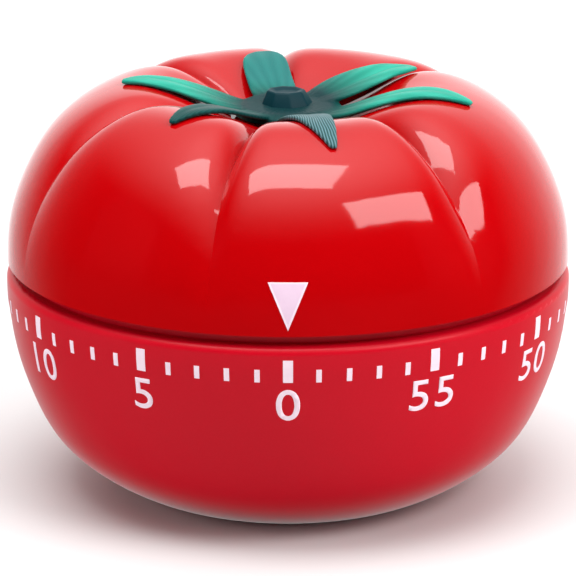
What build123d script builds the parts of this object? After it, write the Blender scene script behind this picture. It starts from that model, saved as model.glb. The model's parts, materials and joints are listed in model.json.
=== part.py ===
from build123d import *
import os
from math import atan2, comb, cos, degrees, hypot, pi, radians, sin
import numpy as np

# A tomato-shaped sixty-minute kitchen timer. The lobed top shell is the winding knob, and the lower shell is
# the fixed case with the movement inside. Millimetres, +Z up, origin at the centre of the base on the surface
# it stands on, the zero mark facing -Y. Polar angles are counted from +X, anticlockwise seen from above.

# ---- shells -------------------------------------------------------------------------------------------
WALL = 1.8                   # moulded wall of both shells
SEAM_Z = 26.65               # lower edge of the top shell
CREST = [(32.2, SEAM_Z), (31.9, 31.0), (29.9, 37.0), (26.3, 42.3),
         (21.5, 45.5), (16.0, 46.4), (11.0, 44.9), (6.5, 42.9)]      # profile over a lobe (r, z)
DIMPLE = (-1, -0.45)         # direction of that profile where it meets the flat under the calyx
CREASES = [(138, 1.8, 4, 4), (203, 1.8, 4, 4), (254, 3.4, 3, 5), (312, 4.5, 5, 4.5), (395, 1.8, 4, 4),
           (452, 1.8, 4, 4)]  # between the lobes: polar angle, depth, narrowness before and after
CREASE_FADE = 1.5            # how fast they fade out down the side
PATCH_T = 11                 # polynomial degree of a lobe along its profile
PATCH_A = 14                 # polynomial degree of a lobe across
CASE = [(17.8, 0.0), (20.2, 1.07), (23.6, 3.2), (27.2, 6.66), (29.9, 12.0), (31.5, 17.3),
        (32.15, 21.6), (32.3, 24.4)]                                  # outer profile of the case (r, z)
SHOULDER = 1.0               # rounding of the case's upper edge
NECK_R = 30.5                # neck that stands up inside the top shell
REBATE_R = 30.9              # rebate inside the top shell's edge that clears the neck
REBATE_TOP = 30.4
NECK_TOP = 30.0
NECK_WALL = 1.8
RIM_IN = 16.2                # inside of the ring that the timer stands on
LEDGE_IN = 12.5              # floor ledge that the base cover is screwed to
LEDGE_Z = (2.0, 4.0)
COVER = (0.5, 2.0)           # base cover, bottom and top
COVER_R = 16.0
COVER_SCREW_R = 14.3
COVER_SCREWS = (30, 150, 270)
SLOT_W = 1.4                 # sound slots in the base cover
SLOT_PITCH = 3.2
SLOT_FIELD = 9.5             # radius of the round field that the slots fill

BOSS_R = 4.4                 # boss under the middle of the knob
BOSS_FOOT = 30.0
BOSS_TOP = 42.0
RIB_T = 1.2                  # ribs from the boss to the lobes
FIT = 0.02                   # radial clearance of a push fit

# ---- calyx --------------------------------------------------------------------------------------------
LEAVES = [(173, 19.6, 2.5), (221, 19.0, 2.3), (286, 22.0, 2.2), (348, 21.4, 2.3), (29, 16.4, 3.4),
          (101, 16.8, 3.2)]  # polar angle, tip radius, half-width
LEAF_GAP = 0.3               # from the lobe's crest to the leaf
LEAF_T = 1.2
CALYX_R = 7.0
CALYX_Z = (43.4, 44.2)
STALK = (3.2, 1.9, 46.2)     # foot radius, top radius, top height
PEG_R = 2.35
PEG_Z = 38.4

# ---- movement frame -----------------------------------------------------------------------------------
PLATE_R = 26.0
LOWER = (13.0, 14.0)         # lower plate
UPPER = (26.0, 27.0)         # upper plate
PILLAR_R = 1.25
PILLAR_AT = 24.3
PILLARS = (46, 135, 225, 305)
POST_AT = 23.8               # case posts that carry the movement
POSTS = (90, 180, 270)
POST_R = 2.6
POST_FOOT = 4.5
SHAKE = 0.1                  # end play of every arbor between the plates
RUN = 0.04                   # radial clearance of every pivot

# ---- train --------------------------------------------------------------------------------------------
LEAVES_N = 7                 # leaves of every pinion
GREAT = (54, 0.5)            # teeth, module
SECOND = (42, 0.4)
THIRD = (42, 0.35)
GREAT_Z = (15.0, 15.8)
PINION2_Z = (14.6, 16.2)
WHEEL2_Z = (16.6, 17.2)
PINION3_Z = (16.2, 17.6)
WHEEL3_Z = (24.8, 25.4)
PINION4_Z = (24.3, 25.7)
SECOND_ANGLE = 64.0          # direction of the second arbor from the main one
THIRD_AT = (17.0, 29.22)     # polar place of the third arbor
ESCAPE_AT = (17.0, 0.0)      # polar place of the escape arbor
TOOTH_W = 1.45               # wheel tooth at the pitch circle, in modules
TOOTH_UP = 1.3               # wheel addendum, in modules
LEAF_W = 1.0                 # pinion leaf at the pitch circle, in modules
LEAF_UP = 0.7                # pinion addendum, in modules
ROOT = 1.5                   # dedendum, in modules
ARBOR_R = {"second": 0.85, "third": 0.68, "escape": 0.6, "pallet": 0.55, "hammer": 0.8}
PIVOT_R = {"second": 0.5, "third": 0.4, "escape": 0.35, "pallet": 0.3, "hammer": 0.8}

# ---- escapement ---------------------------------------------------------------------------------------
ESC_TEETH = 20
ESC_R = 5.0
ESC_ROOT = 3.7
PALLET_DIST = 7.7            # escape arbor to pallet arbor
PALLET_DIR = -60.0
PIN_R = 0.175
PIN_AT = 5.24                # pallet pins from the escape arbor at mid-swing
PIN_SPREAD = 49.5            # each pin's angle from the line of centres: 5.5 tooth spaces in all
ANCHOR_Z = (17.5, 18.1)
PIN_Z = (16.4, 17.5)
BALANCE_Z = (20.0, 20.8)
BALANCE_L = 6.0              # half-length of the balance bar

# ---- spring, knob drive and alarm -----------------------------------------------------------------------
ARBOR_MAIN = 2.5
ARBOR_TOP = 2.0
ARBOR_FLAT = 1.4             # from the axis to the flat that drives the knob
ARBOR_END = 38.0
SPRING_Z = (18.2, 24.2)
SPRING_IN = 2.6
SPRING_OUT = 12.2
SPRING_T = 0.3
SPRING_TURNS = 6
SPRING_POST = (13.3, 200, 0.85)   # polar radius, angle, own radius
CAM_Z = (27.4, 28.2, 29.2)   # stop level, trip level, top
CAM_R = 7.5
LUG_R = 10.5
LUG_W = 0.66
STOP_AT = (9.5, 150.0)       # stop pin, polar
STOP_R = 0.45
LUG_OFFSET = 4.96            # lug's angle behind the stop pin at rest
FINGER_Z = (28.35, 29.05)
FINGER_X = 8.6
FINGER_FOOT = (FINGER_X, -15.2)
FINGER_T = 0.3
NOTCH = (-20.0, 1.6)         # angle and half-width of the trip notch
STAR_TEETH = 6
STAR_R = 2.4
STAR_Z = (14.6, 15.4)
HAMMER_DIST = 6.3            # escape arbor to hammer arbor
HAMMER_DIR = 20.0
HAMMER_HEAD = (10.9, -7.0)
HAMMER_HEAD_R = 1.8
HAMMER_Z = (8.0, 11.0)       # hammer head
HAMMER_ARM_Z = (9.0, 10.0)
BELL_AT = (-4.0, 0.0)
BELL_R = 14.0
BELL_Z = (5.0, 12.0)
BELL_T = 0.8


def polar(r, angle, centre=(0.0, 0.0)):
    return (centre[0] + r * cos(radians(angle)), centre[1] + r * sin(radians(angle)))


def cyl(r, z, at=(0.0, 0.0)):
    """Upright cylinder between the two heights in z."""
    return Pos(at[0], at[1], (z[0] + z[1]) / 2) * Cylinder(r, z[1] - z[0])


def bar(a, b, width, z):
    """Straight flat bar with round ends from point a to point b."""
    length = hypot(b[0] - a[0], b[1] - a[1])
    turn = degrees(atan2(b[1] - a[1], b[0] - a[0]))
    middle = Pos((a[0] + b[0]) / 2, (a[1] + b[1]) / 2, (z[0] + z[1]) / 2) * Rot(0, 0, turn)
    return middle * Box(length, width, z[1] - z[0]) + cyl(width / 2, z, a) + cyl(width / 2, z, b)


def profile(points, start=None, end=None):
    """Smooth curve in the XZ plane through points (r, z)."""
    ends = [Vector(start[0], 0, start[1]), Vector(end[0], 0, end[1])] if start else None
    return Spline(*[(r, 0, z) for r, z in points], tangents=ends)


def inset(curve, t, depth):
    """Point (r, z) that lies depth inside an outer profile that runs upwards and inwards."""
    at = curve @ t
    along = curve % t
    return (at.X - depth * along.Z, at.Z + depth * along.X)


def second_at():
    return polar((GREAT[0] + LEAVES_N) * GREAT[1] / 2, SECOND_ANGLE)


def third_at():
    return polar(*THIRD_AT)


def escape_at():
    return polar(*ESCAPE_AT)


def pallet_at():
    return polar(PALLET_DIST, PALLET_DIR, escape_at())


def hammer_at():
    return polar(HAMMER_DIST, HAMMER_DIR, escape_at())


def direction(a, b):
    return degrees(atan2(b[1] - a[1], b[0] - a[0]))


# ---- shells and calyx ---------------------------------------------------------------------------------

def lobes():
    """The two creases that bound each lobe."""
    angle, *shape = CREASES[0]
    return list(zip(CREASES, CREASES[1:] + [(angle + 360, *shape)]))


def lobe_patch(curve, depth, first, last):
    """One lobe, from crease to crease, as a Bezier surface set in by depth from the outer skin."""
    start, end = first[0], last[0]

    def skin(t, s):
        fade = sin(pi * t / 2) ** CREASE_FADE * (1 - t ** 6)
        deepest, power = (first[1], first[3]) if s < 0.5 else (last[1], last[2])
        crease = deepest * fade * (1 - cos(pi * (s - 0.5))) ** power
        r, z = inset(curve, t, depth + crease)
        return (*polar(r, start + (end - start) * s), z)

    def nodes(n):
        return [(1 - cos(pi * i / n)) / 2 for i in range(n + 1)]

    def basis(n):
        return np.linalg.inv([[comb(n, i) * t ** i * (1 - t) ** (n - i) for i in range(n + 1)] for t in nodes(n)])

    grid = np.array([[skin(t, s) for s in nodes(PATCH_A)] for t in nodes(PATCH_T)])
    poles = np.einsum("ij,jkd,lk->ild", basis(PATCH_T), grid, basis(PATCH_A))
    return Face.make_bezier_surface([[tuple(map(float, p)) for p in row] for row in poles])


def lobed_form(depth):
    """Solid bounded by the lobed skin set in by depth, and by flat discs below and above."""
    curve = profile(CREST, (0, 1), DIMPLE)
    skins = [lobe_patch(curve, depth, first, last) for first, last in lobes()]
    discs = []
    for t in (0, 1):
        level = inset(curve, t, depth)[1]
        rim = [min(skin.edges(), key=lambda e: abs(e.center().Z - level)) for skin in skins]
        discs.append(Face(Wire(rim)))
    return Solid(Shell(skins + discs))


def top_shell():
    outer = lobed_form(0)
    shell = outer - lobed_form(WALL)
    shell = shell + cyl(BOSS_R, (BOSS_FOOT, BOSS_TOP))
    middle = lobed_form(WALL / 2)
    for first, last in lobes():
        rib = Rot(0, 0, (first[0] + last[0]) / 2) * Pos(13.5, 0, 38.5) * Box(20, RIB_T, 9)
        shell = shell + (rib & middle)
    drive = cyl(ARBOR_TOP + FIT, (BOSS_FOOT - 1, ARBOR_END + 0.1))
    drive -= Pos(ARBOR_FLAT + 5 + FIT, 0, 34) * Box(10, 10, 12)
    rebate = cyl(REBATE_R, (SEAM_Z - 1, REBATE_TOP))
    return shell - drive - cyl(PEG_R + FIT, (ARBOR_END + 0.1, 43.5)) - rebate


def calyx():
    curve = profile(CREST, (0, 1), DIMPLE)
    steps = [0.5 + 0.05 * k for k in range(11)]
    low = [inset(curve, t, -LEAF_GAP) for t in steps]
    high = [inset(curve, t, -LEAF_GAP - LEAF_T) for t in steps]
    under = profile(low)
    over = profile(high)
    tip = Line(under @ 0, over @ 0)
    root = Line(under @ 1, over @ 1)
    band = revolve(make_face([under, over, tip, root]), Axis.Z, 360)
    green = cyl(CALYX_R, CALYX_Z)
    for angle, reach, half in LEAVES:
        side = [(2.0, 1.7), (reach * 0.5, half), (reach, 0)]
        one = Spline(*side)
        two = Spline(*[(x, -y) for x, y in side])
        outline = make_face([one, two, Line(one @ 0, two @ 0)])
        leaf = extrude(Pos(0, 0, CALYX_Z[0]) * Rot(0, 0, angle) * outline, 10)
        green += leaf & band
    foot = Pos(0, 0, CALYX_Z[1] - 0.3) * RegularPolygon(STALK[0], 8)
    head = Pos(0.2, 0.1, STALK[2]) * Rot(0, 0, 12) * RegularPolygon(STALK[1], 8)
    green += loft([foot, head])
    return green + cyl(PEG_R, (PEG_Z, CALYX_Z[1]))


def case_outline():
    """Half-section of the lower shell."""
    outer = profile(CASE, (1, 0.35), (0, 1))
    top = outer @ 1
    inner = [(21.2, LEDGE_Z[1])] + [inset(outer, t, WALL) for t in (0.45, 0.58, 0.7, 0.82, 0.93)]
    wall = profile(inner)
    edge_z = top.Z + SHOULDER
    neck_in = NECK_R - NECK_WALL
    shoulder = ThreePointArc((top.X, 0, top.Z),
                             (top.X - SHOULDER * (1 - cos(pi / 4)), 0, top.Z + SHOULDER * sin(pi / 4)),
                             (top.X - SHOULDER, 0, edge_z))
    neck = Polyline((top.X - SHOULDER, 0, edge_z), (NECK_R, 0, edge_z), (NECK_R, 0, NECK_TOP),
                    (neck_in, 0, NECK_TOP), (neck_in, 0, edge_z - 1.0), wall @ 1)
    floor = Polyline(wall @ 0, (LEDGE_IN, 0, LEDGE_Z[1]), (LEDGE_IN, 0, LEDGE_Z[0]),
                     (RIM_IN, 0, LEDGE_Z[0]), (RIM_IN, 0, 0), outer @ 0)
    return outer, make_face([outer, shoulder, neck, wall, floor])


def lower_shell():
    outer, section = case_outline()
    shell = revolve(section, Axis.Z, 360)
    skin = profile([inset(outer, t, WALL / 2) for t in (0.1, 0.3, 0.5, 0.7, 0.9)])
    top = Vector(0, 0, (skin @ 1).Z)
    foot = Vector(0, 0, (skin @ 0).Z)
    within = make_face([skin, Line(skin @ 1, top), Line(top, foot), Line(foot, skin @ 0)])
    solid = revolve(within, Axis.Z, 360)
    for angle in POSTS:
        at = polar(POST_AT, angle)
        shell = shell + (cyl(POST_R, (POST_FOOT, LOWER[0]), at) & solid)
        shell = shell - cyl(0.8, (7.0, LOWER[0] + 1), at)
    for angle in COVER_SCREWS:
        shell = shell - cyl(0.75, (LEDGE_Z[0] - 1, LEDGE_Z[1] - 0.3), polar(COVER_SCREW_R, angle))
    return shell


def base_cover():
    cover = cyl(COVER_R, COVER)
    for k in range(-2, 3):
        y = k * SLOT_PITCH
        half = (SLOT_FIELD ** 2 - y ** 2) ** 0.5
        cover -= bar((-half, y), (half, y), SLOT_W, (0, 3))
    for angle in COVER_SCREWS:
        at = polar(COVER_SCREW_R, angle)
        cover = cover - cyl(0.85, (0, 3), at) - cyl(1.45, (0, 1.2), at)
    return cover


def screws(places, shank_r, head_r, seat, length, head, down=True):
    """Round-head screws with a driver slot; the head is above the seat, or below it."""
    made = []
    for at in places:
        side = 1 if down else -1
        cap = cyl(head_r, sorted((seat, seat + side * head)), at)
        shank = cyl(shank_r, sorted((seat, seat - side * length)), at)
        slot = Pos(at[0], at[1], seat + side * head) * Box(3 * head_r, 0.35, 0.7)
        made.append(cap + shank - slot)
    return Compound(children=made)


def base_cover_screws():
    return screws([polar(COVER_SCREW_R, a) for a in COVER_SCREWS], 0.75, 1.4, 1.2, 2.4, 0.9, down=False)


# ---- movement frame -----------------------------------------------------------------------------------

def arbor_places():
    return {"second": second_at(), "third": third_at(), "escape": escape_at(), "pallet": pallet_at(),
            "hammer": hammer_at()}


def lower_plate():
    plate = cyl(PLATE_R, LOWER) - cyl(1.5 + RUN, LOWER)
    for name, at in arbor_places().items():
        plate -= cyl(PIVOT_R[name] + RUN, LOWER, at)
    for angle in PILLARS:
        plate -= cyl(0.8, LOWER, polar(PILLAR_AT, angle))
    for angle in POSTS:
        plate -= cyl(0.85, LOWER, polar(POST_AT, angle))
    for angle in (120, 150, 210, 240):
        plate -= cyl(3.2, LOWER, polar(16.0, angle))
    return plate - cyl(1.2, LOWER, BELL_AT)


def upper_plate():
    plate = cyl(PLATE_R, UPPER) - cyl(ARBOR_TOP + RUN, UPPER)
    for name, at in arbor_places().items():
        plate -= cyl(PIVOT_R[name] + RUN, UPPER, at)
    for angle in PILLARS:
        plate -= cyl(0.75, UPPER, polar(PILLAR_AT, angle))
    for angle in (95, 120, 145, 250, 275):
        plate -= cyl(2.6, UPPER, polar(18.0, angle))
    plate -= cyl(SPRING_POST[2], UPPER, polar(SPRING_POST[0], SPRING_POST[1]))
    plate -= cyl(0.6, UPPER, FINGER_FOOT)
    return plate - cyl(STOP_R, UPPER, polar(*STOP_AT))


def plate_pillars():
    made = []
    for angle in PILLARS:
        at = polar(PILLAR_AT, angle)
        pillar = cyl(PILLAR_R, (LOWER[1], UPPER[0]), at) + cyl(0.8, LOWER, at)
        made.append(pillar - cyl(0.7, (UPPER[0] - 4, UPPER[0]), at))
    return Compound(children=made)


def pillar_screws():
    return screws([polar(PILLAR_AT, a) for a in PILLARS], 0.7, 1.5, UPPER[1], 4.5, 0.8)


def movement_screws():
    return screws([polar(POST_AT, a) for a in POSTS], 0.8, 1.6, LOWER[1], 6.5, 0.9)


# ---- train --------------------------------------------------------------------------------------------

def tooth_ring(teeth, module, width, up, z, first):
    """Toothed disc; the first tooth's centre is at polar angle first."""
    pitch = teeth * module / 2
    root = pitch - ROOT * module
    half = degrees(width * module / 2 / pitch)
    shape = [(root, -half), (pitch, -half), (pitch + up * module * 0.7, -0.55 * half),
             (pitch + up * module, -0.15 * half), (pitch + up * module, 0.15 * half),
             (pitch + up * module * 0.7, 0.55 * half), (pitch, half), (root, half)]
    points = [polar(r, first + a + 360 * k / teeth) for k in range(teeth) for r, a in shape]
    return extrude(Pos(0, 0, z[0]) * make_face(Polyline(*points, close=True)), z[1] - z[0])


def wheel(teeth, module, bore, hub, z, first, at):
    """Spoked clock wheel."""
    disc = tooth_ring(teeth, module, TOOTH_W, TOOTH_UP, z, first)
    rim = teeth * module / 2 - ROOT * module - 0.9
    window = cyl(rim, z) - cyl(hub, z)
    for k in range(2):
        window -= Rot(0, 0, 90 * k) * Pos(0, 0, (z[0] + z[1]) / 2) * Box(2 * rim + 1, 1.2, z[1] - z[0])
    return Pos(at[0], at[1], 0) * (disc - window - cyl(bore, z))


def pinion(name, module, z, first, at):
    """Pinion cut on its arbor, with a pivot at each end."""
    leaves = tooth_ring(LEAVES_N, module, LEAF_W, LEAF_UP, z, first)
    body = cyl(ARBOR_R[name], (LOWER[1] + SHAKE, UPPER[0] - SHAKE))
    pivots = cyl(PIVOT_R[name], (LOWER[0], UPPER[1]))
    return Pos(at[0], at[1], 0) * (leaves + body + pivots)


def gap_towards(here, there):
    """Angle of a pinion's first leaf that leaves a gap facing another centre."""
    return direction(here, there) + 180 / LEAVES_N


def great_wheel():
    return wheel(*GREAT, ARBOR_MAIN + RUN, 5.0, GREAT_Z, SECOND_ANGLE, (0, 0))


def second_pinion():
    return pinion("second", GREAT[1], PINION2_Z, gap_towards(second_at(), (0, 0)), second_at())


def second_wheel():
    return wheel(*SECOND, ARBOR_R["second"], 2.0, WHEEL2_Z, direction(second_at(), third_at()), second_at())


def third_pinion():
    return pinion("third", SECOND[1], PINION3_Z, gap_towards(third_at(), second_at()), third_at())


def third_wheel():
    return wheel(*THIRD, ARBOR_R["third"], 1.8, WHEEL3_Z, direction(third_at(), escape_at()), third_at())


def escape_pinion():
    return pinion("escape", THIRD[1], PINION4_Z, gap_towards(escape_at(), third_at()), escape_at())


def star(teeth, tip, root, bore, z, first, at):
    """Wheel with straight pointed teeth."""
    points = []
    for k in range(teeth):
        points.append(polar(tip, first + 360 * k / teeth))
        points.append(polar(root, first + 360 * (k + 0.5) / teeth))
    blank = extrude(Pos(0, 0, z[0]) * make_face(Polyline(*points, close=True)), z[1] - z[0])
    return Pos(at[0], at[1], 0) * (blank - cyl(bore, z))


def escape_wheel():
    disc = star(ESC_TEETH, ESC_R, ESC_ROOT, ARBOR_R["escape"], WHEEL2_Z, PALLET_DIR, escape_at())
    for k in range(4):
        disc -= cyl(0.75, WHEEL2_Z, polar(2.2, 90 * k + 45, escape_at()))
    return disc


def strike_star():
    gap = HAMMER_DIR + 180 / STAR_TEETH
    return star(STAR_TEETH, STAR_R, 1.3, ARBOR_R["escape"], STAR_Z, gap, escape_at())


def pin_places():
    return [polar(PIN_AT, PALLET_DIR + side * PIN_SPREAD, escape_at()) for side in (-1, 1)]


def pallet_arbor():
    at = pallet_at()
    return cyl(ARBOR_R["pallet"], (LOWER[1] + SHAKE, UPPER[0] - SHAKE), at) + cyl(
        PIVOT_R["pallet"], (LOWER[0], UPPER[1]), at)


def pallet_lever():
    lever = cyl(1.3, ANCHOR_Z, pallet_at())
    for pin in pin_places():
        lever += bar(pallet_at(), pin, 0.9, ANCHOR_Z)
    return lever - cyl(ARBOR_R["pallet"], ANCHOR_Z, pallet_at())


def pallet_pins():
    return Compound(children=[cyl(PIN_R, PIN_Z, pin) for pin in pin_places()])


def balance_bar():
    at = pallet_at()
    turn = direction((0, 0), at) + 90
    ends = [polar(side * BALANCE_L, turn, at) for side in (-1, 1)]
    beam = bar(ends[0], ends[1], 1.1, BALANCE_Z) + cyl(1.3, BALANCE_Z, at)
    for end in ends:
        beam += cyl(1.0, (BALANCE_Z[0] - 0.8, BALANCE_Z[1] + 0.8), end)
    return beam - cyl(ARBOR_R["pallet"], BALANCE_Z, at)


# ---- spring and knob drive ------------------------------------------------------------------------------

def main_arbor():
    arbor = cyl(1.5, (LOWER[0], 14.2)) + cyl(4.0, (14.1, 14.9)) + cyl(ARBOR_MAIN, (14.9, UPPER[0] - SHAKE))
    top = cyl(ARBOR_TOP, (UPPER[0] - 0.5, ARBOR_END))
    flat = (CAM_Z[0] - 0.1 + ARBOR_END) / 2
    top -= Pos(ARBOR_FLAT + 5, 0, flat) * Box(10, 10, ARBOR_END - CAM_Z[0] + 0.1)
    return arbor + top


def clutch_washer():
    return cyl(5.2, (GREAT_Z[1] + 0.05, 16.2)) - cyl(ARBOR_MAIN, (15, 17))


def arbor_ring():
    ring = cyl(3.9, (16.2, 16.9)) - cyl(ARBOR_MAIN, (16, 17))
    return ring - Pos(4, 0, 16.55) * Box(4, 1.2, 1)


def mainspring():
    def turn(shift):
        steps = 12 * SPRING_TURNS
        rise = (SPRING_OUT - SPRING_IN - SPRING_T) / steps
        return [polar(SPRING_IN + SPRING_T / 2 + shift + rise * k, SPRING_POST[1] + 30 * (k - steps))
                for k in range(steps + 1)]

    inner = Spline(*turn(-SPRING_T / 2))
    outer = Spline(*turn(SPRING_T / 2))
    strip = make_face([inner, outer, Line(inner @ 0, outer @ 0), Line(inner @ 1, outer @ 1)])
    return extrude(Pos(0, 0, SPRING_Z[0]) * strip, SPRING_Z[1] - SPRING_Z[0])


def spring_post():
    at = polar(SPRING_POST[0], SPRING_POST[1])
    return cyl(SPRING_POST[2], (SPRING_Z[0] - 0.5, UPPER[1]), at)


def drive_hole(z):
    hole = cyl(ARBOR_TOP, z)
    return hole - Pos(ARBOR_FLAT + 5, 0, (z[0] + z[1]) / 2) * Box(10, 10, z[1] - z[0] + 1)


def trip_cam():
    low = (CAM_Z[0], CAM_Z[1])
    high = (CAM_Z[1], CAM_Z[2])
    lug_angle = STOP_AT[1] - LUG_OFFSET
    cam = cyl(5.0, low) + cyl(CAM_R, high)
    lug = Pos((LUG_R + 4) / 2, 0, (low[0] + low[1]) / 2) * Box(LUG_R - 4, LUG_W, low[1] - low[0])
    cam += Rot(0, 0, lug_angle) * lug
    notch = Rot(0, 0, NOTCH[0]) * Pos(CAM_R, 0, (high[0] + high[1]) / 2) * Box(2.4, 2 * NOTCH[1], 1)
    return cam - notch - drive_hole((CAM_Z[0], CAM_Z[2]))


def stop_pin():
    return cyl(STOP_R, (UPPER[0], CAM_Z[1] - 0.1), polar(*STOP_AT))


def trip_finger():
    tip = polar(CAM_R, NOTCH[0])
    bend = (FINGER_X, tip[1])
    foot = cyl(1.6, (UPPER[1], FINGER_Z[0]), FINGER_FOOT) + cyl(1.2, FINGER_Z, FINGER_FOOT)
    strip = bar(FINGER_FOOT, bend, FINGER_T, FINGER_Z) + bar(bend, polar(CAM_R - 0.6, NOTCH[0]), 0.5, FINGER_Z)
    hammer = hammer_at()
    reach = polar(ARBOR_R["hammer"] + 0.5, direction(hammer, bend), hammer)
    strip += bar(bend, reach, FINGER_T, FINGER_Z)
    return foot + strip - cyl(0.6, (UPPER[1], FINGER_Z[1]), FINGER_FOOT)


def trip_finger_screw():
    return screws([FINGER_FOOT], 0.6, 1.2, FINGER_Z[1], FINGER_Z[1] - UPPER[0], 0.6)


# ---- alarm ----------------------------------------------------------------------------------------------

def hammer_arbor():
    at = hammer_at()
    arbor = cyl(ARBOR_R["hammer"], (HAMMER_ARM_Z[0] - 0.6, CAM_Z[2]), at)
    tail_z = STAR_Z
    tip = polar(STAR_R + 0.45, HAMMER_DIR, escape_at())
    return arbor + cyl(1.3, (LOWER[1] + SHAKE, 16.0), at) + bar(at, tip, 0.6, tail_z)


def hammer_arm():
    at = hammer_at()
    arm = cyl(1.6, (HAMMER_ARM_Z[0] - 0.4, HAMMER_ARM_Z[1] + 0.4), at)
    arm += bar(at, HAMMER_HEAD, 1.1, HAMMER_ARM_Z)
    return arm - cyl(ARBOR_R["hammer"], (5, 15), at) - cyl(HAMMER_HEAD_R, HAMMER_Z, HAMMER_HEAD)


def hammer_head():
    head = cyl(HAMMER_HEAD_R, HAMMER_Z, HAMMER_HEAD)
    return chamfer(head.edges(), 0.3)


def hammer_spring():
    """Wire spring coiled round the hammer arbor under the upper plate, its leg against a pillar."""
    at = hammer_at()
    coil = cyl(1.35, (22.0, 24.0), at) - cyl(ARBOR_R["hammer"] + 0.1, (21, 25), at)
    leg = bar(polar(1.2, 100, at), polar(6.5, 100, at), 0.35, (23.5, 23.9))
    return coil + (leg - cyl(1.1, (20, 26), at))


def bell():
    x, y = BELL_AT
    outside = cyl(BELL_R, BELL_Z, BELL_AT)
    outside = fillet(outside.edges().group_by(Axis.Z)[-1], 4.5)
    inside = cyl(BELL_R - BELL_T, (BELL_Z[0] - 1, BELL_Z[1] - BELL_T), BELL_AT)
    inside = fillet(inside.edges().group_by(Axis.Z)[-1], 3.8)
    return outside - inside - cyl(0.95, (4, 14), BELL_AT)


def bell_post():
    post = cyl(2.4, (BELL_Z[1], LOWER[0]), BELL_AT) + cyl(1.2, LOWER, BELL_AT)
    return post - cyl(0.9, (11, 13.6), BELL_AT)


def bell_screw():
    return screws([BELL_AT], 0.9, 1.9, BELL_Z[1] - BELL_T, 2.2, 1.0, down=False)


SUBPARTS = [top_shell, calyx, lower_shell, base_cover, base_cover_screws, lower_plate, upper_plate,
            plate_pillars, pillar_screws, movement_screws, main_arbor, clutch_washer, arbor_ring, mainspring,
            spring_post, great_wheel, second_pinion, second_wheel, third_pinion, third_wheel, escape_pinion,
            escape_wheel, strike_star, pallet_arbor, pallet_lever, pallet_pins, balance_bar, trip_cam,
            stop_pin, trip_finger, trip_finger_screw, hammer_arbor, hammer_arm, hammer_head, hammer_spring,
            bell, bell_post, bell_screw]

os.makedirs("parts", exist_ok=True)
for subpart in SUBPARTS:
    export_step(subpart(), f"parts/{subpart.__name__}.step")
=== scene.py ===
import bpy
import json
from math import cos, hypot, pi, radians, sin
from mathutils import Matrix, Vector


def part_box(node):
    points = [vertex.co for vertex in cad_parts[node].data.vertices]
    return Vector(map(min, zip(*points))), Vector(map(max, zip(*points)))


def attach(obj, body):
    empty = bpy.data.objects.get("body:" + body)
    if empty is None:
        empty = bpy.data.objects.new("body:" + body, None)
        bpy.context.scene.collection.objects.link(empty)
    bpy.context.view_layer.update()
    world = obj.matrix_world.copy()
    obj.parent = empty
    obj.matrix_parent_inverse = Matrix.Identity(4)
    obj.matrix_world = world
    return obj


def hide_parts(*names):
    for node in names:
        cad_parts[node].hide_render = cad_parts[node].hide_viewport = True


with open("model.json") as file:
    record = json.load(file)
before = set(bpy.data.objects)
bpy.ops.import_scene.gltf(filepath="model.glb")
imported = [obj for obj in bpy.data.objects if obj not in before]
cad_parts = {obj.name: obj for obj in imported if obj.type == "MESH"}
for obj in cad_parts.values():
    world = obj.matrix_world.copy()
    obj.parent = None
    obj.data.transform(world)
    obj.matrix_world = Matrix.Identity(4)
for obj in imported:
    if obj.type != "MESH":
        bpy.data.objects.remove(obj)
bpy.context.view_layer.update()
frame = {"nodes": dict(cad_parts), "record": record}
NODES = frame["nodes"]
MM = 0.001

# ---- sizes read from the frame ------------------------------------------------------------------------
knob_low, knob_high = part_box("top_shell")
CASE_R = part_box("lower_shell")[1].x
SEAM_Z = knob_low.z

# ---- printed scale ------------------------------------------------------------------------------------
MINUTES = 60
TICK_FOOT = SEAM_Z - 5.25 * MM
TICK_LONG = (1.1 * MM, 2.6 * MM)
TICK_SHORT = (0.6 * MM, 1.5 * MM)
DIGIT_HEIGHT = 3.95 * MM
DIGIT_STRETCH = 1.1          # digits wider than the font's own
DIGIT_TOP = TICK_FOOT - 0.7 * MM
CAP_SHARE = 0.729            # height of a digit in the font's own size
DIGIT_SPACE = 1.12           # gap between two digits, against the font's own
DIGIT_WEIGHT = 0.03 * MM     # how much the strokes are thickened
INK_LIFT = 0.03 * MM
INK_STEP = 0.5 * MM
POINTER = (4.5 * MM, 5.5 * MM)
POINTER_EDGE = 0.22 * MM     # white outline round the lilac arrow
POINTER_TIP = SEAM_Z + 0.7 * MM

# ---- calyx --------------------------------------------------------------------------------------------
LEAF_ROWS = 18               # grid squares along a leaf
LEAF_COLS = 10               # grid squares across
LEAF_ROOT_R = 2.8 * MM
LEAF_GAP = 0.1 * MM
LEAF_T = 0.55 * MM
LEAF_RISE = (3.0 * MM, 14.0 * MM)    # where a leaf runs straight up from the collar to a lobe's crest
LEAF_START = knob_high.z + 10 * MM   # height of the flat leaf before it is laid down
BELLY_AT = 0.42              # share of a leaf's length where it is widest
GROOVE = 0.35                # half-width of a leaf's middle groove, against its own
CROWN_END = 0.9              # share of a leaf's length where its crown ends
NEAR = 0.01 * MM             # tolerance when parts of a mesh are picked by place
HUB_R = 6.2 * MM
HUB_T = 0.7 * MM
HUB_STEPS = ((1.6 * MM, 0.15 * MM), (1.1 * MM, 0.35 * MM))    # inset and rise of the collar's steps
HUB_Z = knob_high.z - 2.85 * MM
LEAF_ROOT_Z = HUB_Z + 0.2 * MM
STALK_FOOT_R = 3.2 * MM
STALK_TOP_R = 1.95 * MM
STALK_TOP_Z = HUB_Z + 2.35 * MM
STALK_LEAN = (-0.25 * MM, 0.1 * MM, 0)
STALK_RIM = 0.35 * MM
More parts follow.
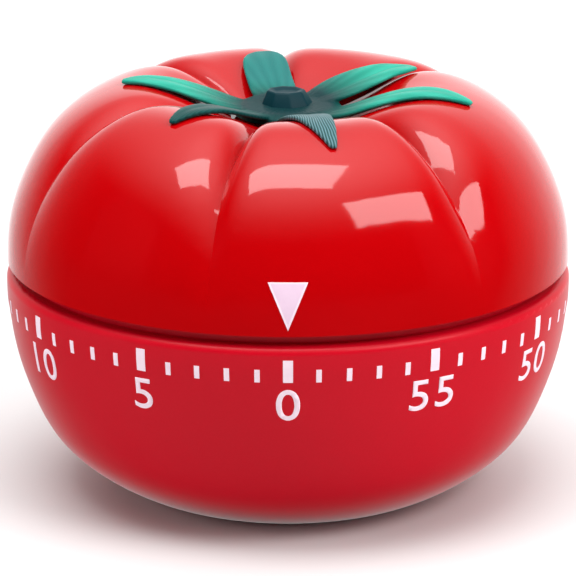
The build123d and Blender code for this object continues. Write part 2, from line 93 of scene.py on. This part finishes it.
STALK_DISH = (0.5 * MM, 0.25 * MM)   # inset and depth of the sunken end
STALK_EDGE = 0.22 * MM
PEG_R = 2.35 * MM
PEG_LENGTH = 3.9 * MM
PEG_DROP = 2.1 * MM          # middle of the peg below the collar
VOXEL = 0.16 * MM
VEINS = 420                  # round the whole calyx
STREAKS = 46

# ---- camera -------------------------------------------------------------------------------------------
EYE_LIFT = radians(16.96)
EYE_AWAY = 0.5336
AIM = Vector((0, 0, 0.0224))
LENS = 289.4
SENSOR = 36.0


def clear_selection():
    if bpy.context.object and bpy.context.object.mode != "OBJECT":
        bpy.ops.object.mode_set(mode="OBJECT")
    bpy.ops.object.select_all(action="DESELECT")


def active(piece):
    clear_selection()
    piece.select_set(True)
    bpy.context.view_layer.objects.active = piece


def named(name):
    """The primitive that was just added, with its name."""
    piece = bpy.context.object
    piece.name = name
    piece.data.name = name
    return piece


def apply_place(piece):
    active(piece)
    bpy.ops.object.transform_apply(location=True, rotation=True, scale=True)


def turn_about_axis(piece, angle):
    """Turns a finished mesh about the timer's axis."""
    piece.data.transform(Matrix.Rotation(angle, 4, "Z"))


def finish_with(piece, kind, **settings):
    """Adds a modifier and applies it."""
    active(piece)
    made = piece.modifiers.new(kind.lower(), kind)
    for name, value in settings.items():
        setattr(made, name, value)
    bpy.ops.object.modifier_apply(modifier=made.name)


def choose(piece, kind, test):
    """In edit mode, selects the vertices, edges or faces whose middle passes the test."""
    active(piece)
    bpy.ops.object.mode_set(mode="EDIT")
    bpy.ops.mesh.select_mode(type={"vertices": "VERT", "edges": "EDGE", "polygons": "FACE"}[kind])
    bpy.ops.mesh.select_all(action="DESELECT")
    bpy.ops.object.mode_set(mode="OBJECT")
    mesh = piece.data
    for part in getattr(mesh, kind):
        if kind == "vertices":
            middle = part.co
        else:
            middle = sum((mesh.vertices[v].co for v in part.vertices), Vector()) / len(part.vertices)
        part.select = test(middle)
    bpy.ops.object.mode_set(mode="EDIT")


def join(pieces, name):
    clear_selection()
    for piece in pieces:
        piece.select_set(True)
    bpy.context.view_layer.objects.active = pieces[0]
    bpy.ops.object.join()
    return named(name)


# ---- materials ----------------------------------------------------------------------------------------

class Wire:
    """A socket of a material's nodes that can be used in sums."""

    def __init__(self, tree, socket=None):
        self.tree = tree
        self.socket = socket

    def node(self, kind, settings=None, values=None, output=0):
        """Adds a node. Its settings are set first, then its sockets get numbers, colours or links."""
        made = self.tree.nodes.new(kind)
        for name, value in (settings or {}).items():
            setattr(made, name, value)
        for name, value in (values or {}).items():
            if isinstance(value, Wire):
                self.tree.links.new(value.socket, made.inputs[name])
            else:
                made.inputs[name].default_value = value
        return Wire(self.tree, made.outputs[output])

    def maths(self, operation, first, second=0.0, clamp=False):
        settings = {"operation": operation, "use_clamp": clamp}
        return self.node("ShaderNodeMath", settings, {0: first, 1: second})

    def __add__(self, other):
        return self.maths("ADD", self, other)

    def __sub__(self, other):
        return self.maths("SUBTRACT", self, other)

    def __rsub__(self, other):
        return self.maths("SUBTRACT", other, self)

    def __mul__(self, other):
        return self.maths("MULTIPLY", self, other)

    def __truediv__(self, other):
        return self.maths("DIVIDE", self, other)

    def __pow__(self, other):
        return self.maths("POWER", self, other)

    __radd__ = __add__
    __rmul__ = __mul__

    def clamp(self):
        return self.maths("ADD", self, 0.0, clamp=True)


def rgb(red, green, blue):
    return (red, green, blue, 1.0)


class Finish:
    """One material: a Principled shader on Object coordinates."""

    def __init__(self, name, **uniform):
        self.material = bpy.data.materials.new(name)
        self.material.use_nodes = True
        self.tree = self.material.node_tree
        self.shader = self.tree.nodes["Principled BSDF"]
        self.wire = Wire(self.tree)
        self.place = self.wire.node("ShaderNodeTexCoord", output="Object")
        for socket, value in uniform.items():
            self.shader.inputs[socket.replace("_", " ")].default_value = value

    def feed(self, socket, wire):
        self.tree.links.new(wire.socket, self.shader.inputs[socket])

    def noise(self, scale, detail=2.0, stretch=(1, 1, 1)):
        """Cloudy pattern from 0 to 1; scale is in features per metre."""
        place = self.wire.node("ShaderNodeMapping", None, {"Vector": self.place, "Scale": stretch})
        cloud = {"Vector": place, "Scale": scale, "Detail": detail}
        return self.wire.node("ShaderNodeTexNoise", None, cloud)

    def mix(self, factor, first, second):
        """Colour between two colours."""
        return self.wire.node("ShaderNodeMix", {"data_type": "RGBA"},
                              {"Factor": factor, 6: first, 7: second}, output=2)

    def bump(self, height, depth, strength=1.0):
        """Relief of that depth in metres."""
        normal = self.wire.node("ShaderNodeBump", None,
                                {"Height": height, "Distance": depth, "Strength": strength})
        self.feed("Normal", normal)

    def axes(self):
        split = self.wire.node("ShaderNodeSeparateXYZ", None, {"Vector": self.place})
        node = split.socket.node
        return [Wire(self.tree, node.outputs[k]) for k in range(3)]


def knob_red():
    """Polished red moulding: slow waviness in the gloss, a few dull specks."""
    made = Finish("knob_red", IOR=1.5, Specular_IOR_Level=0.45)
    cloud = made.noise(60.0, 3.0)
    colour = made.mix(cloud, rgb(0.40, 0.0, 0.001), rgb(0.45, 0.0004, 0.002))
    made.feed("Base Color", colour)
    speck = ((made.noise(900.0, 1.0) - 0.7) * 6.0).clamp()
    made.feed("Roughness", 0.05 + made.noise(35.0, 2.0) * 0.04 + speck * 0.1)
    made.bump(made.noise(120.0, 1.0), 0.00002, 0.5)
    return made.material


def case_red():
    """Satin red moulding with a fine spark-eroded grain."""
    made = Finish("case_red", IOR=1.48, Specular_IOR_Level=0.2)
    grain = made.noise(4000.0, 2.0)
    made.feed("Base Color", made.mix(grain, rgb(0.49, 0.001, 0.010), rgb(0.54, 0.002, 0.014)))
    made.feed("Roughness", 0.31 + grain * 0.05)
    made.bump(grain, 0.000006, 0.5)
    return made.material


def cover_red():
    made = Finish("cover_red", IOR=1.45)
    made.feed("Base Color", made.mix(made.noise(90.0, 3.0), rgb(0.40, 0.0, 0.004), rgb(0.46, 0.002, 0.008)))
    made.feed("Roughness", 0.42 + made.noise(200.0, 2.0) * 0.12)
    made.bump(made.noise(5000.0, 2.0), 0.000012, 0.7)
    return made.material


def print_ink(name, low, high):
    """Pad-printed ink: thin, slightly mottled."""
    made = Finish(name, IOR=1.45)
    made.feed("Base Color", made.mix(made.noise(700.0, 3.0), low, high))
    made.feed("Roughness", 0.35 + made.noise(1500.0, 2.0) * 0.15)
    made.bump(made.noise(3000.0, 2.0), 0.000008, 0.5)
    return made.material


def leaf_green():
    """Teal-green moulding, dark towards the stalk, with streaks and fine veins that run outwards; the
    leaves in the front quarter carry painted shade, and the veins of the front leaf a painted sheen.
    """
    made = Finish("leaf_green", IOR=1.46, Specular_IOR_Level=0.14)
    x, y, z = made.axes()
    turn = made.wire.maths("ARCTAN2", y, x) + made.noise(260.0, 2.0) * 0.02
    vein = made.wire.maths("SINE", turn * VEINS) * 0.5 + 0.5
    streak = made.wire.maths("SINE", turn * STREAKS) * 0.5 + 0.5
    out = (((x * x + y * y) ** 0.5 - 5 * MM) / (7 * MM)).clamp()
    # front: painted shade over the front quarter of the calyx, where the leaves are darkened
    front = ((0.0 - y - 3 * MM) / (4 * MM)).clamp() * ((9 * MM - x) / (4 * MM)).clamp()
    lines = streak * 0.7 + made.noise(150.0, 3.0) * 0.3
    bright = made.mix(lines, rgb(0.006, 0.27, 0.19), rgb(0.03, 0.37, 0.27))
    # dark: the darker tone towards the stalk, and also the colour of the painted shade on the front leaves
    dark = made.mix(vein, rgb(0.001, 0.020, 0.024), rgb(0.004, 0.042, 0.045))
    # shade: dark towards the stalk, times the painted shade on the front leaves
    shade = made.wire.maths("MULTIPLY", out, 1.0 - front * 0.92, clamp=True)
    green = made.mix(shade, dark, bright)
    behind = ((y - 5 * MM) / (3 * MM)).clamp() * (1.5 - x * x / (6 * MM) ** 2).clamp()
    green = made.mix(behind, green, made.mix(streak, rgb(0.014, 0.145, 0.135), rgb(0.018, 0.165, 0.152)))
    # ahead: painted sheen on the leaf at the front; its veins are lightened to a pale grey-blue as if they
    # caught the light, and in the bump the same mask deepens the veins' real relief
    ahead = ((0.0 - y - 9 * MM) / (4 * MM)).clamp() * ((x + 1 * MM) / (1 * MM)).clamp()
    made.feed("Base Color", made.mix(ahead * vein, green, rgb(0.12, 0.23, 0.26)))
    made.feed("Roughness", 0.36 + made.noise(400.0, 2.0) * 0.14)
    made.bump(vein * (0.3 + ahead) + streak, 0.00006, 0.7)
    return made.material


def stalk_teal():
    made = Finish("stalk_teal", IOR=1.46, Specular_IOR_Level=0.12)
    cloud = made.noise(250.0, 4.0)
    made.feed("Base Color", made.mix(cloud, rgb(0.001, 0.020, 0.028), rgb(0.003, 0.036, 0.046)))
    made.feed("Roughness", 0.36 + made.noise(500.0, 2.0) * 0.15)
    made.bump(made.noise(900.0, 3.0), 0.00005, 0.6)
    return made.material


def metal(name, low, high, rough, stretch):
    """Worked metal with fine marks along one direction."""
    made = Finish(name, Metallic=1.0)
    marks = made.noise(1800.0, 3.0, stretch)
    made.feed("Base Color", made.mix(marks, low, high))
    made.feed("Roughness", rough + marks * 0.18)
    made.bump(marks, 0.000006, 0.6)
    return made.material


SHEET_STEEL = metal("sheet_steel", rgb(0.42, 0.43, 0.44), rgb(0.56, 0.57, 0.58), 0.26, (1, 0.05, 1))
TURNED_STEEL = metal("turned_steel", rgb(0.5, 0.5, 0.5), rgb(0.66, 0.66, 0.67), 0.18, (1, 1, 0.05))
BLUED_STEEL = metal("blued_steel", rgb(0.10, 0.13, 0.20), rgb(0.22, 0.26, 0.36), 0.22, (1, 1, 0.1))
STAMPED_BRASS = metal("stamped_brass", rgb(0.62, 0.42, 0.14), rgb(0.82, 0.60, 0.26), 0.22, (0.05, 1, 1))
BELL_NICKEL = metal("bell_nickel", rgb(0.66, 0.64, 0.60), rgb(0.80, 0.78, 0.74), 0.08, (1, 1, 1))
MATERIAL_OF_SLOT = {"gloss_red": knob_red(), "satin_red": case_red(), "base_plastic": cover_red(),
                    "calyx_green": leaf_green(), "zinc_steel": TURNED_STEEL, "plate_steel": SHEET_STEEL,
                    "spring_steel": BLUED_STEEL, "brass": STAMPED_BRASS, "bell_steel": BELL_NICKEL}
INK = print_ink("ink_white", rgb(0.80, 0.60, 0.70), rgb(0.92, 0.76, 0.84))
POINTER_INK = print_ink("ink_lilac", rgb(0.70, 0.50, 0.64), rgb(0.80, 0.60, 0.74))
STALK = stalk_teal()


def dress(piece, *materials):
    piece.data.materials.clear()
    for material in materials:
        piece.data.materials.append(material)


for part in frame["record"]["subparts"]:
    dress(NODES[part["node"]], MATERIAL_OF_SLOT[part["material_slot"]])


# ---- printed scale and pointer ------------------------------------------------------------------------

def slice_up(piece, step):
    """Cuts a flat upright mark into small squares, so that it can follow a curved skin."""
    xs = [v.co.x for v in piece.data.vertices]
    zs = [v.co.z for v in piece.data.vertices]
    for low, high, normal in ((min(xs), max(xs), (1, 0, 0)), (min(zs), max(zs), (0, 0, 1))):
        for k in range(1, int((high - low) / step) + 1):
            at = low + k * step
            choose(piece, "vertices", lambda p: True)
            bpy.ops.mesh.bisect(plane_co=[at * n for n in normal], plane_no=normal)
    bpy.ops.object.mode_set(mode="OBJECT")


def print_on(piece, node):
    """Lays a mark on a shell's skin and gives the ink its thickness."""
    finish_with(piece, "SHRINKWRAP", target=NODES[node], wrap_method="NEAREST_SURFACEPOINT",
                wrap_mode="ABOVE_SURFACE", offset=INK_LIFT)
    finish_with(piece, "SOLIDIFY", thickness=INK_LIFT, offset=-1.0)


def upright_patch(width, height, foot):
    """Flat grid at the front of the case, facing forward."""
    clear_selection()
    bpy.ops.mesh.primitive_grid_add(x_subdivisions=3, y_subdivisions=5, size=1,
                                    location=(0, -CASE_R, foot + height / 2), rotation=(pi / 2, 0, 0))
    piece = named("tick")
    piece.scale = (width, height, 1)
    apply_place(piece)
    return piece


def minute_ticks():
    ticks = []
    for minute in range(MINUTES):
        size = TICK_SHORT if minute % 5 else TICK_LONG
        tick = upright_patch(size[0], size[1], TICK_FOOT)
        turn_about_axis(tick, -2 * pi * minute / MINUTES)
        ticks.append(tick)
    piece = join(ticks, "minute_ticks")
    print_on(piece, "lower_shell")
    return piece


def minute_number(minute):
    clear_selection()
    bpy.ops.object.text_add(rotation=(pi / 2, 0, 0))
    text = bpy.context.object
    text.data.body = str(minute)
    text.data.size = DIGIT_HEIGHT / CAP_SHARE
    text.data.align_x = "CENTER"
    text.data.offset = DIGIT_WEIGHT
    text.data.space_character = DIGIT_SPACE
    active(text)
    bpy.ops.object.convert(target="MESH")
    piece = named(f"minute_number_{minute:02d}")
    piece.location = (0, -CASE_R, DIGIT_TOP - DIGIT_HEIGHT)
    piece.scale = (DIGIT_STRETCH, 1, 1)
    apply_place(piece)
    slice_up(piece, INK_STEP)
    turn_about_axis(piece, -2 * pi * minute / MINUTES)
    print_on(piece, "lower_shell")
    return piece


def pointer():
    clear_selection()
    bpy.ops.mesh.primitive_circle_add(vertices=3, radius=1, fill_type="NGON", rotation=(pi / 2, 0, 0))
    piece = named("pointer_mark")
    apply_place(piece)
    low = min(v.co.z for v in piece.data.vertices)
    high = max(v.co.z for v in piece.data.vertices)
    wide = max(v.co.x for v in piece.data.vertices)
    piece.scale = (POINTER[0] / 2 / wide, 1, -POINTER[1] / (high - low))
    piece.location = (0, -CASE_R, POINTER_TIP + high * POINTER[1] / (high - low))
    apply_place(piece)
    choose(piece, "polygons", lambda p: True)
    bpy.ops.mesh.normals_make_consistent(inside=False)
    bpy.ops.mesh.inset(thickness=POINTER_EDGE)
    bpy.ops.object.mode_set(mode="OBJECT")
    dress(piece, INK, POINTER_INK)
    largest = max(piece.data.polygons, key=lambda f: f.area)
    largest.material_index = 1
    slice_up(piece, INK_STEP)
    print_on(piece, "top_shell")
    return piece


def add_marks():
    ticks = minute_ticks()
    marks = [ticks] + [minute_number(minute) for minute in range(0, MINUTES, 5)]
    for mark in marks:
        dress(mark, INK)
        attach(mark, "case")
    arrow = pointer()
    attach(arrow, "dial")


# ---- calyx --------------------------------------------------------------------------------------------

def leaf_width(s, half, blunt, root):
    """Half-width at share s of the leaf's length: root share, full belly, tip as blunt as asked."""
    belly = root + (1 - root) * sin(pi / 2 * min(1.0, s / BELLY_AT))
    return half * belly * max(0.03, 1 - s ** blunt) ** 0.75


def crown_share(s):
    """Share of the crown and groove that a leaf has at share s of its length: none at either end."""
    return sin(pi * (1.1 * s)) ** 0.6 if s < CROWN_END else 0.0


def leaf(name, angle, reach, half, blunt=2.4, root=0.5, sway=0.0, bridge=0.4, level=0.0, arch=0.0,
         crown=0.3, valley=0.25):
    """One leaf, laid over the knob. Angle is polar, in degrees; the lengths are in millimetres.

    Bridge is how far it keeps to a straight line over the hollow; level is how far it stays flat across.
    """
    length = reach * MM - LEAF_ROOT_R
    clear_selection()
    bpy.ops.mesh.primitive_grid_add(x_subdivisions=LEAF_ROWS, y_subdivisions=LEAF_COLS, size=1,
                                    location=(LEAF_ROOT_R + length / 2, 0, LEAF_START))
    piece = named(name)
    piece.scale = (length, 2 * half * MM, 1)
    apply_place(piece)
    for row in range(LEAF_ROWS + 1):
        s = row / LEAF_ROWS
        at = LEAF_ROOT_R + s * length
        choose(piece, "vertices", lambda p: abs(p.x - at) < NEAR)
        bpy.ops.transform.resize(value=(1, leaf_width(s, 1.0, blunt, root), 1), center_override=(at, 0, 0))
        bpy.ops.transform.translate(value=(0, sway * MM * s * s, 0))
    bpy.ops.object.mode_set(mode="OBJECT")
    turn_about_axis(piece, radians(angle))
    drape = {"wrap_method": "PROJECT", "use_project_z": True, "use_negative_direction": True,
             "use_positive_direction": False, "offset": LEAF_GAP}
    finish_with(piece, "SHRINKWRAP", target=NODES["top_shell"], **drape)
    points = list(piece.data.vertices)
    for row in range(LEAF_ROWS + 1):
        strip = points[row::LEAF_ROWS + 1]
        top = max(point.co.z for point in strip)
        for point in strip:
            share = (hypot(point.co.x, point.co.y) - LEAF_RISE[0]) / (LEAF_RISE[1] - LEAF_RISE[0])
            rise = LEAF_ROOT_Z + (knob_high.z - LEAF_ROOT_Z) * share - point.co.z if share < 1.0 else 0.0
            point.co.z += max(bridge * rise, level * (top - point.co.z), 0.0)
    finish_with(piece, "SMOOTH", factor=0.5, iterations=6)
    for index, vertex in enumerate(piece.data.vertices):
        s = (index % (LEAF_ROWS + 1)) / LEAF_ROWS
        across = 2 * (index // (LEAF_ROWS + 1)) / LEAF_COLS - 1
        shape = crown * (1 - across ** 2) - valley * max(0.0, 1 - abs(across) / GROOVE)
        vertex.co.z += MM * (shape * crown_share(s) + arch * sin(pi * s))
    finish_with(piece, "SOLIDIFY", thickness=LEAF_T, offset=1.0)
    finish_with(piece, "SUBSURF", levels=1, render_levels=1)
    return piece


def hub():
    """Middle of the calyx: a low flared collar under the stalk, with the peg that plugs into the knob."""
    clear_selection()
    bpy.ops.mesh.primitive_cylinder_add(vertices=32, radius=HUB_R, depth=HUB_T, location=(0, 0, HUB_Z))
    piece = named("hub")
    apply_place(piece)
    for inset, rise in HUB_STEPS:
        top = max(v.co.z for v in piece.data.vertices)
        choose(piece, "polygons", lambda p: p.z > top - NEAR)
        bpy.ops.mesh.inset(thickness=inset)
        bpy.ops.transform.translate(value=(0, 0, rise))
    bpy.ops.object.mode_set(mode="OBJECT")
    clear_selection()
    bpy.ops.mesh.primitive_cylinder_add(vertices=24, radius=PEG_R, depth=PEG_LENGTH,
                                        location=(0, 0, HUB_Z - PEG_DROP))
    peg = named("peg")
    apply_place(peg)
    return join([piece, peg], "hub")


def stalk():
    """Cut stalk: an uneven eight-sided stub with a slightly sunken end."""
    clear_selection()
    bpy.ops.mesh.primitive_cone_add(vertices=8, radius1=STALK_FOOT_R, radius2=STALK_TOP_R,
                                    depth=STALK_TOP_Z - HUB_Z, location=(0, 0, (STALK_TOP_Z + HUB_Z) / 2),
                                    rotation=(0, 0, radians(10)))
    piece = named("stalk")
    apply_place(piece)
    choose(piece, "polygons", lambda p: p.z > STALK_TOP_Z - NEAR)
    bpy.ops.transform.translate(value=STALK_LEAN)
    bpy.ops.transform.resize(value=(1.12, 0.95, 1))
    bpy.ops.mesh.inset(thickness=STALK_RIM)
    bpy.ops.mesh.inset(thickness=STALK_DISH[0])
    bpy.ops.transform.translate(value=(0, 0, -STALK_DISH[1]))
    choose(piece, "polygons", lambda p: p.z < HUB_Z + NEAR)
    bpy.ops.transform.resize(value=(1.05, 1.0, 1))
    bpy.ops.object.mode_set(mode="OBJECT")
    finish_with(piece, "BEVEL", width=STALK_EDGE, segments=3, limit_method="ANGLE", angle_limit=radians(20))
    active(piece)
    bpy.ops.object.shade_smooth_by_angle(angle=radians(35))
    return piece


def add_calyx():
    leaves = [leaf("leaf_left", 176, 19.4, 3.3, sway=0.2, bridge=0.4, crown=0.45),
              leaf("leaf_left_front", 229, 20.8, 2.9, blunt=2.2, sway=0.6, bridge=0.5),
              leaf("leaf_front", 277, 23.2, 3.2, blunt=2.0, sway=2.4, bridge=0.2, crown=0.15, valley=0.1),
              leaf("leaf_right", 340, 21.9, 3.4, sway=1.6, bridge=0.2, crown=0.45),
              leaf("leaf_right_back", 35, 17.0, 3.7, blunt=3.4, sway=-1.8, bridge=0.8, level=0.9, arch=0.2,
                   valley=0.6),
              leaf("leaf_back", 105, 15.6, 3.0, blunt=14.0, root=0.85, sway=-1.0, level=1.0, valley=0.1)]
    green = join(leaves + [hub()], "calyx_leaves")
    finish_with(green, "REMESH", mode="VOXEL", voxel_size=VOXEL)
    finish_with(green, "SMOOTH", factor=0.5, iterations=4)
    active(green)
    bpy.ops.object.shade_smooth()
    dress(green, MATERIAL_OF_SLOT["calyx_green"])
    stub = stalk()
    dress(stub, STALK)
    for piece in (green, stub):
        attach(piece, "dial")
    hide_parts("calyx")


# ---- studio -------------------------------------------------------------------------------------------

def look_at(piece, target):
    piece.rotation_euler = (Vector(target) - piece.location).to_track_quat("-Z", "Y").to_euler()


def softbox(name, place, size, power, roll=0.0):
    """Lamp aimed at the timer; sizes in metres, power in watts, roll in degrees."""
    data = bpy.data.lights.new(name, "AREA")
    data.shape = "RECTANGLE"
    data.size = size[0]
    data.size_y = size[1]
    data.energy = power
    lamp = bpy.data.objects.new(name, data)
    bpy.context.scene.collection.objects.link(lamp)
    lamp.location = place
    look_at(lamp, AIM)
    lamp.rotation_euler.rotate_axis("Z", radians(roll))
    return lamp


def floor_white():
    made = Finish("floor_white", Roughness=0.6)
    made.feed("Base Color", made.mix(made.noise(3.0, 1.0), rgb(0.64, 0.64, 0.64), rgb(0.67, 0.67, 0.67)))
    return made.material


def dome():
    """Even studio surround: dark ahead of the timer, brighter overhead and behind it."""
    world = bpy.data.worlds.new("studio")
    world.use_nodes = True
    wire = Wire(world.node_tree)
    towards = wire.node("ShaderNodeTexCoord", output="Generated")
    split = wire.node("ShaderNodeSeparateXYZ", None, {"Vector": towards}).socket.node
    x, y, z = (Wire(world.node_tree, split.outputs[k]) for k in range(3))
    above = ((z - 0.5) / 0.5).clamp()
    behind = y.clamp()
    light = 0.02 + above * above * 2.5 + behind * behind * behind * 1.5 + (x * behind).clamp() * 0.5
    back = world.node_tree.nodes["Background"]
    world.node_tree.links.new(light.socket, back.inputs["Strength"])
    back.inputs["Color"].default_value = rgb(1, 1, 1)
    bpy.context.scene.world = world


def studio():
    clear_selection()
    bpy.ops.mesh.primitive_plane_add(size=6, location=(0, 0, 0))
    floor = named("floor")
    dress(floor, floor_white())
    floor.visible_glossy = False
    dome()
    overhead = softbox("softbox_overhead", (-0.12, -0.16, 1.0), (0.76, 0.42), 6.6)
    overhead.rotation_euler = (0, 0, 0)
    softbox("softbox_right", (0.788, -0.492, 0.86), (0.84, 0.36), 6.6, roll=-17)
    softbox("fill_right", (1.3, -0.35, 0.45), (0.8, 0.8), 9.5).visible_glossy = False
    softbox("fill_left", (-1.3, -0.35, 0.45), (0.8, 0.8), 8.0).visible_glossy = False
    scene = bpy.context.scene
    scene.view_settings.view_transform = "Standard"
    scene.view_settings.look = "None"


def camera():
    data = bpy.data.cameras.new("camera")
    data.lens = LENS
    data.sensor_width = SENSOR
    data.clip_start = 0.01
    eye = bpy.data.objects.new("camera", data)
    bpy.context.scene.collection.objects.link(eye)
    eye.location = AIM + EYE_AWAY * Vector((0, -cos(EYE_LIFT), sin(EYE_LIFT)))
    look_at(eye, AIM)
    bpy.context.scene.camera = eye


add_marks()
add_calyx()
camera()
studio()
